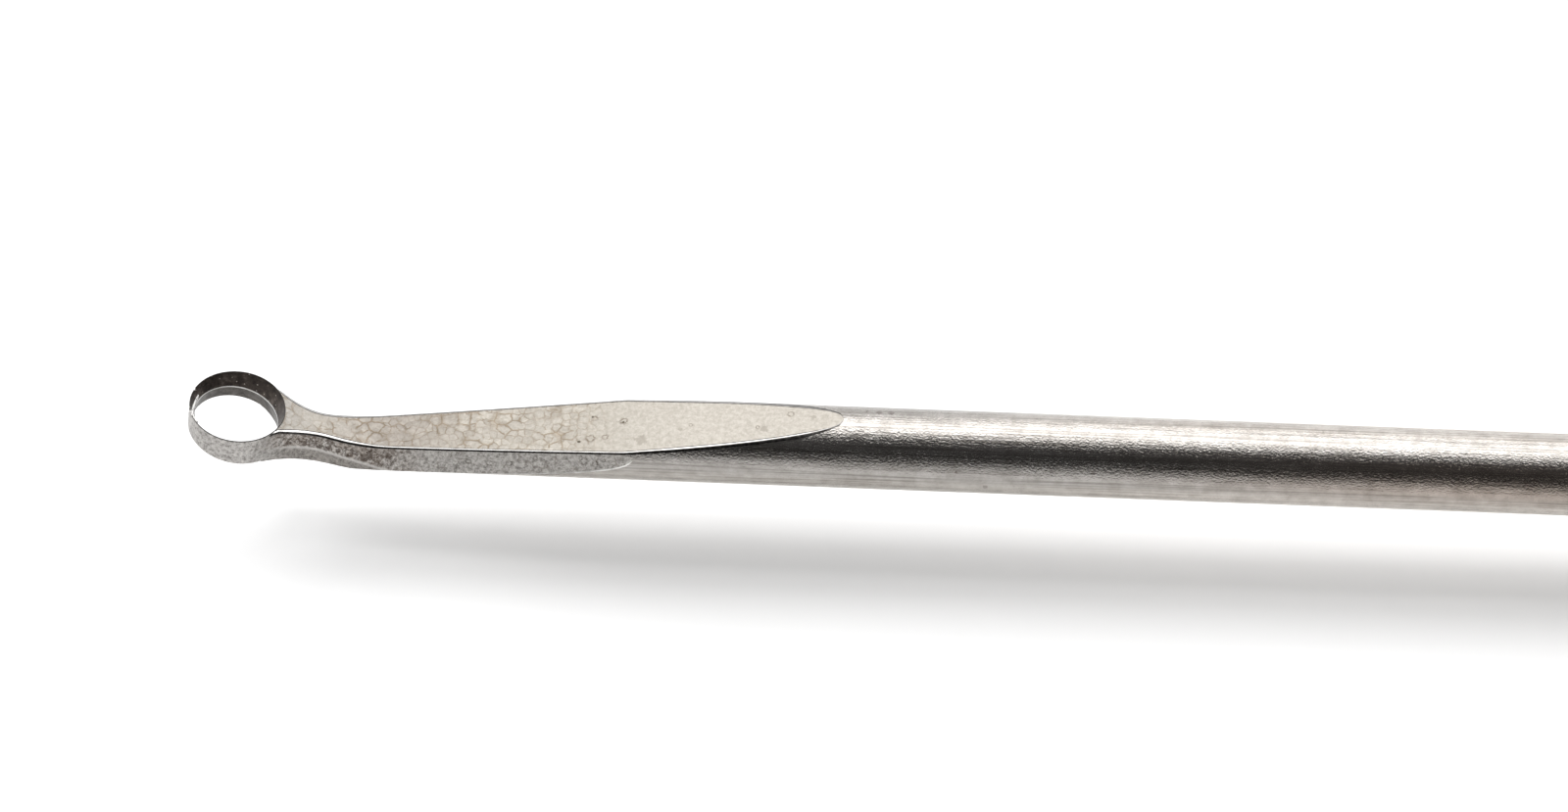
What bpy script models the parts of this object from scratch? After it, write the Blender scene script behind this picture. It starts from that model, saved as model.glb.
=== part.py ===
"""Ring curette, one piece of stainless steel: a round bar whose end is cut away to a slim neck that sweeps up
into a ring with a sharp rim, bored through and countersunk from above.

Metres, +Z up. The bar runs along X with the ring at -X and the long flat facing +Z. The origin is under the
middle of the overall length, on the lowest line of the bar. Distances along the head are from the ring's centre.
"""

import math

import bmesh
import bpy
from mathutils import Matrix, Vector

MM = 0.001

# Bar
BAR_DIAMETER = 4.0 * MM
OVERALL_LENGTH = 145.0 * MM
END_CHAMFER = 0.35 * MM

# Ring: a short tube whose rim leans back towards the bar, and whose foot leans more
RIM_DIAMETER = 4.70 * MM
FOOT_DIAMETER = 4.66 * MM
RING_HEIGHT = 1.58 * MM
RING_RISE = 1.25 * MM
RIM_LEAN = math.radians(5.6)
FOOT_LEAN = math.radians(11.0)

# Hole: the bevel inside the rim comes down to a bright edge, and the bore opens a little from there to the foot
RIM_LAND = 0.02 * MM
EDGE_DIAMETER = 4.10 * MM
EDGE_DEPTH = 0.82 * MM
EDGE_LEAN = math.radians(11.3)
FOOT_BORE_DIAMETER = 4.32 * MM

# Long flat on top, a little hollow, and the sweep that carries it up to just below the rim
FLAT_LENGTH = 29.5 * MM
FLAT_ANGLE = math.radians(6.6)
FLAT_HOLLOW_RADIUS = 555.0 * MM
SWEEP_END = 7.55 * MM
SWEEP_RADIUS = 10.3 * MM
RIM_LIP = 0.06 * MM

# Side flats, which draw the head in to the neck. Their straight line runs on to NECK_HALF_WIDTH at the ring's centre,
# and a fillet flares it out to the ring
SIDE_FLAT_LENGTH = 19.2 * MM
NECK_HALF_WIDTH = 0.44 * MM
SIDE_SLANT = math.radians(15.0)
SLANT_START = 2.5 * MM
SLANT_END = 5.0 * MM
NECK_FILLET = 4.5 * MM

# Line along each side below which the flat stands upright
CREASE_HEIGHT = 0.30 * MM
CREASE_FALL = math.radians(12.7)

# Polished bevel along both edges of the top face, which narrows as the side flats run out
NECK_BEVEL = 0.20 * MM
END_BEVEL = 0.05 * MM
BEVEL_ANGLE = math.radians(15.0)

# Underside of the neck: a short flat off the bar, then an arc up to the ring's foot
UNDERSIDE_LENGTH = 9.7 * MM
UNDERSIDE_ANGLE = math.radians(5.15)
UNDERSIDE_ARC_END = 4.6 * MM
UNDERSIDE_RADIUS = 8.5 * MM

# Nick that wear has left in the rim at the tip
NICK_WIDTH = 0.24 * MM
NICK_DEPTH = 0.20 * MM
NICK_BEARING = math.radians(158.0)

STEEL_COLOUR = (0.58, 0.55, 0.51, 1.0)

# Fineness of round shapes, and how far cutters reach past what they cut
BAR_SIDES = 96
RING_SIDES = 128
ARC_STEPS = 24
CLEAR = 2.0 * MM
OVERLAP = 0.3 * MM

BAR_RADIUS = BAR_DIAMETER / 2
RIM_RADIUS = RIM_DIAMETER / 2
FOOT_RADIUS = FOOT_DIAMETER / 2
WALL_RADIUS = (RIM_RADIUS + FOOT_RADIUS) / 2
RIM_Z = BAR_RADIUS + RING_RISE
FOOT_Z = RIM_Z - RING_HEIGHT * math.cos(RIM_LEAN)
FOOT_SHIFT = RING_HEIGHT * math.sin(RIM_LEAN)
TIP_REACH = FOOT_SHIFT + FOOT_RADIUS * math.cos(FOOT_LEAN)
RING_X = TIP_REACH - OVERALL_LENGTH / 2
HANDLE_X = OVERALL_LENGTH / 2
SIDE_SLOPE = (BAR_RADIUS / math.cos(SIDE_SLANT) - NECK_HALF_WIDTH) / SIDE_FLAT_LENGTH
SIDE_TAPER = math.atan(SIDE_SLOPE)


def mix(a, b, t):
    return a + (b - a) * t


def smoothstep(low, high, value):
    t = min(1.0, max(0.0, (value - low) / (high - low)))
    return t * t * (3.0 - 2.0 * t)


def rim_line(d):
    """Height of the plane of the rim."""
    return RIM_Z - d * math.tan(RIM_LEAN)


def foot_line(d):
    """Height of the plane of the ring's foot."""
    return FOOT_Z - (d + FOOT_SHIFT) * math.tan(FOOT_LEAN)


def flat_line(d):
    """Height of the long flat, which runs out on the crest of the bar at FLAT_LENGTH."""
    back = FLAT_LENGTH - d
    return BAR_DIAMETER - back * math.tan(FLAT_ANGLE) + back**2 / (2.0 * FLAT_HOLLOW_RADIUS)


def crease_line(d):
    """Height of the crease in the side flats."""
    return BAR_RADIUS + CREASE_HEIGHT - d * math.tan(CREASE_FALL)


def sweep_centre():
    """Side view: centre of the arc that takes over from the long flat at SWEEP_END."""
    slope = math.tan(FLAT_ANGLE) - (FLAT_LENGTH - SWEEP_END) / FLAT_HOLLOW_RADIUS
    up = Vector((-slope, 1.0)).normalized()
    return Vector((SWEEP_END, flat_line(SWEEP_END))) + up * SWEEP_RADIUS


SWEEP_CENTRE = sweep_centre()


def top_line(d):
    """Height of the top face: a lip below the rim, then the sweep, then the long flat."""
    if d >= SWEEP_END:
        return flat_line(d)
    sweep = SWEEP_CENTRE.y - math.sqrt(SWEEP_RADIUS**2 - (SWEEP_CENTRE.x - d) ** 2)
    return min(rim_line(d) - RIM_LIP, sweep)


def underside_line(d):
    """Height of the underside: the foot of the ring, then an arc that is tangent to the flat off the bar."""
    flat = (UNDERSIDE_LENGTH - d) * math.tan(UNDERSIDE_ANGLE)
    if d >= UNDERSIDE_ARC_END:
        return flat
    return min(foot_line(d), flat + (UNDERSIDE_ARC_END - d) ** 2 / (2.0 * UNDERSIDE_RADIUS))


def fillet_centre():
    """Plan view of the neck fillet: tangent to the side line and to the outside of the ring."""
    lift = NECK_FILLET * math.sqrt(1.0 + SIDE_SLOPE**2) + NECK_HALF_WIDTH
    a = 1.0 + SIDE_SLOPE**2
    b = 2.0 * SIDE_SLOPE * lift
    c = lift**2 - (WALL_RADIUS + NECK_FILLET) ** 2
    x = (-b + math.sqrt(b * b - 4.0 * a * c)) / (2.0 * a)
    return Vector((x, SIDE_SLOPE * x + lift))


FILLET_CENTRE = fillet_centre()
FILLET_START = FILLET_CENTRE.x * WALL_RADIUS / (WALL_RADIUS + NECK_FILLET)
FILLET_END = FILLET_CENTRE.x + NECK_FILLET * math.sin(SIDE_TAPER)


def side_line(d):
    """Half width of the head at the height of the bar's axis."""
    if d >= FILLET_END:
        return NECK_HALF_WIDTH + SIDE_SLOPE * d
    d = max(d, FILLET_START)
    return FILLET_CENTRE.y - math.sqrt(NECK_FILLET**2 - (FILLET_CENTRE.x - d) ** 2)


def fillet_steps():
    """Distances along the neck fillet, at equal turns."""
    first = math.asin((FILLET_CENTRE.x - FILLET_START) / NECK_FILLET)
    turns = [mix(first, -SIDE_TAPER, i / ARC_STEPS) for i in range(ARC_STEPS + 1)]
    return [FILLET_CENTRE.x - NECK_FILLET * math.sin(turn) for turn in turns]


def side_slant(d):
    """The side flats lean out downwards, and come upright where they meet the ring."""
    return SIDE_SLANT * smoothstep(SLANT_START, SLANT_END, d)


def ring_shift(d, z):
    """How far a side follows the lean of the ring's wall, which fades out along the neck fillet."""
    return (z - RIM_Z) * math.tan(RIM_LEAN) * (1.0 - smoothstep(FILLET_START, FILLET_END, d))


def skin(name, rings):
    """A closed mesh through a row of rings that have the same number of points."""
    bm = bmesh.new()
    loops = [[bm.verts.new(point) for point in ring] for ring in rings]
    for first, second in zip(loops[:-1], loops[1:]):
        for i in range(len(first)):
            j = (i + 1) % len(first)
            bm.faces.new((first[i], first[j], second[j], second[i]))
    bm.faces.new(loops[0])
    bm.faces.new(loops[-1])
    bmesh.ops.recalc_face_normals(bm, faces=bm.faces)
    mesh = bpy.data.meshes.new(name)
    bm.to_mesh(mesh)
    bm.free()
    return mesh


def meshed(obj):
    """The evaluated mesh of an object, in world space with its doubles merged. The object is removed."""
    bpy.context.view_layer.update()
    graph = bpy.context.evaluated_depsgraph_get()
    mesh = bpy.data.meshes.new_from_object(obj.evaluated_get(graph))
    mesh.transform(obj.matrix_world)
    bm = bmesh.new()
    bm.from_mesh(mesh)
    bmesh.ops.remove_doubles(bm, verts=bm.verts, dist=1e-7)
    bm.to_mesh(mesh)
    bm.free()
    bpy.data.objects.remove(obj)
    return mesh


def add_object(name, data, collection):
    obj = bpy.data.objects.new(name, data)
    collection.objects.link(obj)
    return obj


def add_helper(name, mesh):
    """An object that only shapes the part: cut from it, or joined to it."""
    helper = add_object(name, mesh, helpers)
    helper.hide_render = True
    helper.display_type = "WIRE"
    return helper


def turned_bar():
    """The plain bar: a profile turned about its axis, from inside the ring to the chamfered end."""
    start = RING_X + FILLET_START - OVERLAP
    length = HANDLE_X - start
    profile = [(0.0, length), (BAR_RADIUS - END_CHAMFER, length), (BAR_RADIUS, length - END_CHAMFER)]
    profile += [(BAR_RADIUS, 0.0), (0.0, 0.0)]
    mesh = bpy.data.meshes.new("bar")
    mesh.from_pydata([(x, 0.0, z) for x, z in profile], [(i, i + 1) for i in range(len(profile) - 1)], [])
    bar = add_object("bar", mesh, parts)
    turn = bar.modifiers.new("turn", "SCREW")
    turn.steps = BAR_SIDES
    turn.render_steps = BAR_SIDES
    turn.use_merge_vertices = True
    turn.merge_threshold = 1e-6
    bar.matrix_world = Matrix.Translation((start, 0.0, BAR_RADIUS)) @ Matrix.Rotation(math.radians(90.0), 4, "Y")
    return add_object("bar", meshed(bar), parts)


def side_section(d):
    """One section of what is ground off a side: bevel, slanted edge, crease and upright edge, as (y, z)."""
    lean = math.tan(side_slant(d))
    bevel = mix(NECK_BEVEL, END_BEVEL, (d - FILLET_START) / (SIDE_FLAT_LENGTH - FILLET_START))
    bevel = max(bevel, END_BEVEL)
    shoulder = top_line(d) - bevel * math.tan(BEVEL_ANGLE)
    crease = min(crease_line(d), shoulder - NECK_BEVEL)
    y_shoulder = side_line(d) - (shoulder - BAR_RADIUS) * lean
    y_crease = side_line(d) + (BAR_RADIUS - crease) * lean
    y_inner = y_shoulder - bevel - OVERLAP
    z_inner = shoulder + (bevel + OVERLAP) * math.tan(BEVEL_ANGLE)
    top = max(BAR_DIAMETER, z_inner) + CLEAR
    low = min(0.0, crease) - CLEAR
    far = max(BAR_RADIUS, y_crease) + CLEAR
    edge = [(y_inner, top), (y_inner, z_inner), (y_shoulder, shoulder), (y_crease, crease)]
    return edge + [(y_crease, low), (far, low), (far, top)]


def side_cutter(name, side):
    """What is ground off one side, as a skin through its sections."""
    steps = [FILLET_START - CLEAR] + fillet_steps()
    steps += [mix(FILLET_END, SWEEP_END, i / ARC_STEPS) for i in range(1, ARC_STEPS + 1)]
    steps += [mix(SWEEP_END, SIDE_FLAT_LENGTH, i / ARC_STEPS) for i in range(1, ARC_STEPS + 1)]
    steps += [SIDE_FLAT_LENGTH + CLEAR / SIDE_SLOPE]
    rings = [[(RING_X + d + ring_shift(d, z), side * y, z) for y, z in side_section(d)] for d in steps]
    return add_helper(name, skin(name, rings))


def outline_cutter(name, outline):
    """A cutter across the whole head, from its outline in side view: (distance, height) points."""
    curve = bpy.data.curves.new(name, "CURVE")
    curve.dimensions = "2D"
    curve.fill_mode = "BOTH"
    curve.extrude = RIM_RADIUS + CLEAR
    spline = curve.splines.new("POLY")
    spline.points.add(len(outline) - 1)
    for point, (d, z) in zip(spline.points, outline):
        point.co = (RING_X + d, z, 0.0, 1.0)
    spline.use_cyclic_u = True
    guide = add_object(name, curve, helpers)
    guide.matrix_world = Matrix.Rotation(math.radians(90.0), 4, "X")
    return add_helper(name, meshed(guide))


def top_cutter():
    """Cuts the sweep and the long flat from the bar."""
    runs_out = FLAT_LENGTH + CLEAR
    steps = [mix(FILLET_START - CLEAR, SWEEP_END, i / (2 * ARC_STEPS)) for i in range(2 * ARC_STEPS)]
    steps += [mix(SWEEP_END, runs_out, i / ARC_STEPS) for i in range(ARC_STEPS + 1)]
    outline = [(d, top_line(d)) for d in steps]
    outline += [(runs_out, BAR_DIAMETER + 2 * CLEAR), (steps[0], BAR_DIAMETER + 2 * CLEAR)]
    return outline_cutter("top_cutter", outline)


def underside_cutter():
    """Trims the foot of the ring, and cuts the underside of the neck."""
    tip = -TIP_REACH - CLEAR
    bar_end = UNDERSIDE_LENGTH + CLEAR
    steps = [tip] + [mix(0.0, UNDERSIDE_ARC_END, i / (2 * ARC_STEPS)) for i in range(2 * ARC_STEPS + 1)]
    outline = [(d, underside_line(d)) for d in steps + [bar_end]]
    return outline_cutter("underside_cutter", outline + [(bar_end, -CLEAR), (tip, -CLEAR)])


def ring_circle(depth, radius, lean):
    """A circle of the ring, at a depth below the rim along the ring's axis."""
    turn = Matrix.Rotation(lean, 3, "Y")
    axis = Vector((math.sin(RIM_LEAN), 0.0, math.cos(RIM_LEAN)))
    centre = Vector((RING_X, 0.0, RIM_Z)) - axis * depth
    points = []
    for i in range(RING_SIDES):
        a = math.tau * i / RING_SIDES
        points.append(centre + turn @ Vector((radius * math.cos(a), radius * math.sin(a), 0.0)))
    return points


def ring_wall():
    """Outside of the ring, from the rim to below the foot, where the underside cutter trims it."""
    per_depth = (FOOT_RADIUS - RIM_RADIUS) / RING_HEIGHT
    above = ring_circle(0.0, RIM_RADIUS, RIM_LEAN)
    below = ring_circle(RING_HEIGHT + OVERLAP, FOOT_RADIUS + OVERLAP * per_depth, FOOT_LEAN)
    return add_helper("ring_wall", skin("ring_wall", [above, below]))


def ring_hole():
    """The bevel and the bore in one: circles through the rim, the bright edge and the foot."""
    mouth = RIM_RADIUS - RIM_LAND
    edge = EDGE_DIAMETER / 2
    flare = (mouth - edge) / EDGE_DEPTH
    opening = (FOOT_BORE_DIAMETER / 2 - edge) / (RING_HEIGHT - EDGE_DEPTH)
    rings = [
        ring_circle(-CLEAR, mouth + flare * CLEAR, RIM_LEAN),
        ring_circle(0.0, mouth, RIM_LEAN),
        ring_circle(EDGE_DEPTH, edge, EDGE_LEAN),
        ring_circle(RING_HEIGHT + CLEAR, FOOT_BORE_DIAMETER / 2 + opening * CLEAR, FOOT_LEAN),
    ]
    return add_helper("ring_hole", skin("ring_hole", rings))


def nick():
    """A three-sided notch across the rim."""
    bm = bmesh.new()
    length = RIM_RADIUS - EDGE_DIAMETER / 2 + OVERLAP
    bmesh.ops.create_cone(bm, cap_ends=True, segments=3, radius1=NICK_DEPTH, radius2=NICK_DEPTH, depth=length)
    d = RIM_RADIUS * math.cos(NICK_BEARING)
    y = RIM_RADIUS * math.sin(NICK_BEARING)
    widen = Matrix.Diagonal((1.0, NICK_WIDTH / (NICK_DEPTH * math.sqrt(3.0)), 1.0, 1.0))
    point_down = Matrix.Rotation(math.radians(90.0), 4, "Y")
    place = Matrix.Translation((RING_X + d, y, rim_line(d))) @ Matrix.Rotation(NICK_BEARING, 4, "Z")
    bmesh.ops.transform(bm, matrix=place @ point_down @ widen, verts=bm.verts)
    mesh = bpy.data.meshes.new("nick")
    bm.to_mesh(mesh)
    bm.free()
    return add_helper("nick", mesh)


def steel_material():
    material = bpy.data.materials.new("stainless_steel")
    material.use_nodes = True
    shader = material.node_tree.nodes["Principled BSDF"]
    shader.inputs["Base Color"].default_value = STEEL_COLOUR
    shader.inputs["Metallic"].default_value = 1.0
    shader.inputs["Roughness"].default_value = 0.3
    return material


def combine(obj, helper, operation):
    modifier = obj.modifiers.new(helper.name, "BOOLEAN")
    modifier.operation = operation
    modifier.object = helper


for old in list(bpy.data.objects):
    bpy.data.objects.remove(old)
parts = bpy.data.collections.new("ring_curette")
helpers = bpy.data.collections.new("cutters")
bpy.context.scene.collection.children.link(parts)
bpy.context.scene.collection.children.link(helpers)

bar = turned_bar()
combine(bar, side_cutter("left_side_cutter", 1.0), "DIFFERENCE")
combine(bar, side_cutter("right_side_cutter", -1.0), "DIFFERENCE")
combine(bar, top_cutter(), "DIFFERENCE")
combine(bar, ring_wall(), "UNION")
combine(bar, underside_cutter(), "DIFFERENCE")
combine(bar, ring_hole(), "DIFFERENCE")
combine(bar, nick(), "DIFFERENCE")

curette = add_object("ring_curette", meshed(bar), parts)
curette.data.materials.clear()
curette.data.materials.append(steel_material())
curette.data.shade_smooth()
curette.data.set_sharp_from_angle(angle=math.radians(18.0))
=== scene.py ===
# The studio the curette is seen in: a table of plain white paper, a wide soft lamp above and behind it, a small weak
# one overhead, and walls that are dim in front and bright behind. The camera looks down through a long lens, and is
# turned a little, so that the bar falls to the right.
import math

import bmesh
import bpy
from mathutils import Matrix, Vector


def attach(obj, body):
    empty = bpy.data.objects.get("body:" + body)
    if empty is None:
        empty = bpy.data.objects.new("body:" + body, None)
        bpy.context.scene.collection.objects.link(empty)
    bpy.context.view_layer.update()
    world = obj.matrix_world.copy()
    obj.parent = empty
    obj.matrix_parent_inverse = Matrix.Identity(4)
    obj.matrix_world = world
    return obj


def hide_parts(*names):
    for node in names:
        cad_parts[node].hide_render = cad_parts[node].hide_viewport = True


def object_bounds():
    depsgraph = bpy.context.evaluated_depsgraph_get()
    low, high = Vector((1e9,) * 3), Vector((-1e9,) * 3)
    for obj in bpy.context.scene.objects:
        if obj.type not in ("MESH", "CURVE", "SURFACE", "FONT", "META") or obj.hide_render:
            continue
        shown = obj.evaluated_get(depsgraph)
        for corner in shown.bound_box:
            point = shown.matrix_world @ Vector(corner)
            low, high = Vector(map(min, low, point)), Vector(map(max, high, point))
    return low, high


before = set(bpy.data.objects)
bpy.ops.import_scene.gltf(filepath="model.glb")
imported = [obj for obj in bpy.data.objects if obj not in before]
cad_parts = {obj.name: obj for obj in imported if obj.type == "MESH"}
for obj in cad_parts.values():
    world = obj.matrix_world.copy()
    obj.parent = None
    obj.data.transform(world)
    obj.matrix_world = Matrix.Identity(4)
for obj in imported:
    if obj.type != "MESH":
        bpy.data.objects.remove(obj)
cad_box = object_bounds()
MM = 0.001
TIP_TO_RING = 2.4414  # from the tip to the ring's centre, in millimetres
RING_X = cad_box[0].x / MM + TIP_TO_RING
TABLE_Z = -4.4 * MM  # the curette is held a little clear of the table
TABLE_HALF = 3.0
CAMERA_DISTANCE, LAMP_DISTANCE = 0.4245, 0.6


def add_node(tree, kind, inputs=(), **settings):
    """A node with its settings made, and its inputs linked or given a value."""
    node = tree.nodes.new(kind)
    for name, value in settings.items():
        setattr(node, name, value)
    for name, value in dict(inputs).items():
        if isinstance(value, bpy.types.NodeSocket):
            tree.links.new(value, node.inputs[name])
        else:
            node.inputs[name].default_value = value
    return node


def finish_of(material, roughness, metallic=1.0):
    """The node tree of a material and its main shader, with its metal and roughness set."""
    material.use_nodes = True
    shader = material.node_tree.nodes["Principled BSDF"]
    shader.inputs["Metallic"].default_value = metallic
    shader.inputs["Roughness"].default_value = roughness
    return material.node_tree, shader


def hang_lamp(name, shape, sizes, power, lean):
    """A soft lamp over what the camera aims at, leaning back from straight above."""
    lamp = bpy.data.lights.new(name, "AREA")
    lamp.shape = shape
    lamp.size, lamp.size_y = sizes
    lamp.energy = power
    hung = bpy.data.objects.new(name, lamp)
    up = Vector((0.0, math.sin(lean), math.cos(lean)))
    facing = up.to_track_quat("Z", "Y").to_matrix().to_4x4()
    hung.matrix_world = Matrix.Translation(aim + up * LAMP_DISTANCE) @ facing
    hung.visible_camera = False
    scene.collection.objects.link(hung)
    return hung


scene = bpy.context.scene
scene.view_settings.view_transform = "Standard"
scene.view_settings.look = "None"

aim = Vector((RING_X + 26.55, 1.37, 3.30)) * MM
elevation, roll = math.radians(46.5), math.radians(2.2)
away = Vector((0.0, -math.cos(elevation), math.sin(elevation)))
lens = bpy.data.cameras.new("camera")
lens.lens = 200.0
lens.sensor_width = 36.0
lens.clip_start = 0.01
camera = bpy.data.objects.new("camera", lens)
facing = away.to_track_quat("Z", "Y").to_matrix().to_4x4() @ Matrix.Rotation(roll, 4, "Z")
camera.matrix_world = Matrix.Translation(aim + away * CAMERA_DISTANCE) @ facing
scene.collection.objects.link(camera)
scene.camera = camera

hang_lamp("softbox", "RECTANGLE", (1.5, 0.47), 6.4, math.radians(22.8))
overhead = hang_lamp("ceiling_lamp", "DISK", (0.24, 0.24), 1.2, math.radians(-2.0))
overhead.visible_glossy = False

room = bpy.data.worlds.new("room")
room.use_nodes = True
tree = room.node_tree
sight = add_node(tree, "ShaderNodeTexCoord")
parts = add_node(tree, "ShaderNodeSeparateXYZ", {"Vector": sight.outputs["Generated"]})
brightness = add_node(
    tree,
    "ShaderNodeMapRange",
    {"Value": parts.outputs["Y"], "From Min": -0.05, "From Max": 0.40, "To Min": 0.06, "To Max": 1.25},
    interpolation_type="SMOOTHSTEP",
)
tree.links.new(brightness.outputs["Result"], tree.nodes["Background"].inputs["Color"])
scene.world = room

table_mesh = bpy.data.meshes.new("table")
corners = [(x * TABLE_HALF, y * TABLE_HALF, TABLE_Z) for x, y in ((-1, -1), (1, -1), (1, 1), (-1, 1))]
table_mesh.from_pydata(corners, [], [(0, 1, 2, 3)])
table = bpy.data.objects.new("table", table_mesh)
scene.collection.objects.link(table)
paper = bpy.data.materials.new("white_paper")
tree, shader = finish_of(paper, roughness=0.9, metallic=0.0)
shader.inputs["Base Color"].default_value = (0.76, 0.76, 0.76, 1.0)
shader.inputs["Specular IOR Level"].default_value = 0.1
table_mesh.materials.append(paper)


# The bar and the head that is ground out of it, in one stainless steel rod of 4 mm: a long flat on top, a flat down
# each side, and a short one underneath, all run out on the round. The skin goes through sections across the bar, and
# each face of it keeps its own strips, which close to nothing where the face runs out. Sizes are in millimetres.
BAR_R = 2.0
BAR_END = cad_box[1].x / MM - RING_X
END_CHAMFER = 0.35
RIM_Z, RIM_LEAN = 3.25, math.radians(5.6)
RING_HEIGHT, FOOT_LEAN = 1.58, math.radians(11.0)
RIM_R, FOOT_R = 2.35, 2.33
WALL_R = (RIM_R + FOOT_R) / 2
FOOT_Z = RIM_Z - RING_HEIGHT * math.cos(RIM_LEAN)
FOOT_SHIFT = RING_HEIGHT * math.sin(RIM_LEAN)
FLAT_LENGTH, FLAT_ANGLE, FLAT_HOLLOW_R = 29.5, math.radians(6.6), 555.0
SWEEP_END, SWEEP_R, RIM_LIP = 7.55, 10.3, 0.06
SIDE_LENGTH, SIDE_AT_RING, SIDE_SLANT = 19.2, 0.44, math.radians(15.0)
SLANT_START, SLANT_END = 2.5, 5.0
NECK_FILLET = 4.5
INTO_RING = 0.3  # how far the head reaches past the start of the fillets, into the ring
SIDE_TAPER = math.atan((BAR_R / math.cos(SIDE_SLANT) - SIDE_AT_RING) / SIDE_LENGTH)
UNDER_LENGTH, UNDER_ANGLE, UNDER_ARC_END, UNDER_R = 9.7, math.radians(5.15), 4.6, 8.5
CREASE_Z, CREASE_FALL = 2.30, math.radians(12.7)
STRIP_ANGLE = math.radians(15.0)
STRIP_WIDTHS = (  # (distance from the ring's centre, width)
    (0.0, 0.10),
    (3.2, 0.17),
    (5.0, 0.15),
    (7.5, 0.09),
    (18.0, 0.09),
    (22.0, 0.14),
    (27.0, 0.12),
    (29.5, 0.02),
)
EDGE_ROUND, EDGE_LINE, LOW_CORNER = 0.07, 0.05, 0.10
SAME_PLACE, NO_LENGTH = 2e-7, 1e-8  # in metres, for faces that close to nothing
flat_steel = bpy.data.materials.new("etched_flat")
strip_steel = bpy.data.materials.new("polished_edge")
side_steel = bpy.data.materials.new("stained_side")
bar_steel = bpy.data.materials.new("drawn_bar")
shade_line_steel = bpy.data.materials.new("painted_shade_line")
highlight_corner_steel = bpy.data.materials.new("painted_highlight_corner")
FLAT, STRIP, SIDE, ROUND, LINE, CORNER = range(6)


def mix(a, b, t):
    """A value between two others."""
    return a + (b - a) * t


def smoothstep(low, high, value):
    """A soft step from 0 to 1 between two values."""
    t = min(1.0, max(0.0, (value - low) / (high - low)))
    return t * t * (3.0 - 2.0 * t)


def flat_line(d):
    """Height of the long, slightly hollow flat."""
    back = FLAT_LENGTH - d
    return 2 * BAR_R - back * math.tan(FLAT_ANGLE) + back**2 / (2 * FLAT_HOLLOW_R)


flat_slope = math.tan(FLAT_ANGLE) - (FLAT_LENGTH - SWEEP_END) / FLAT_HOLLOW_R
sweep_centre = Vector((SWEEP_END, flat_line(SWEEP_END))) + Vector((-flat_slope, 1.0)).normalized() * SWEEP_R


def top_line(d):
    """Height of the top face at a distance from the ring's centre."""
    if d >= FLAT_LENGTH:
        return 2 * BAR_R
    if d >= SWEEP_END:
        return flat_line(d)
    sweep = sweep_centre.y - math.sqrt(SWEEP_R**2 - (sweep_centre.x - d) ** 2)
    return min(RIM_Z - d * math.tan(RIM_LEAN) - RIM_LIP, sweep)


def under_line(d):
    """Height of the underside, below which nothing is left."""
    flat = (UNDER_LENGTH - d) * math.tan(UNDER_ANGLE)
    if d >= UNDER_ARC_END:
        return max(flat, 0.0)
    foot = FOOT_Z - (d + FOOT_SHIFT) * math.tan(FOOT_LEAN)
    return min(foot, flat + (UNDER_ARC_END - d) ** 2 / (2 * UNDER_R))


side_slope = math.tan(SIDE_TAPER)
lift = NECK_FILLET * math.sqrt(1 + side_slope**2) + SIDE_AT_RING
qa, qb, qc = 1 + side_slope**2, 2 * side_slope * lift, lift**2 - (WALL_R + NECK_FILLET) ** 2
fillet_x = (-qb + math.sqrt(qb * qb - 4 * qa * qc)) / (2 * qa)
fillet_y = side_slope * fillet_x + lift
FILLET_START = fillet_x * WALL_R / (WALL_R + NECK_FILLET)
FILLET_END = fillet_x + NECK_FILLET * math.sin(SIDE_TAPER)


def side_line(d):
    """Half width of the head at the height of the bar's axis, which flares out again to the ring."""
    if d >= FILLET_END:
        return SIDE_AT_RING + side_slope * d
    d = max(d, FILLET_START)
    return fillet_y - math.sqrt(NECK_FILLET**2 - (fillet_x - d) ** 2)


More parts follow.
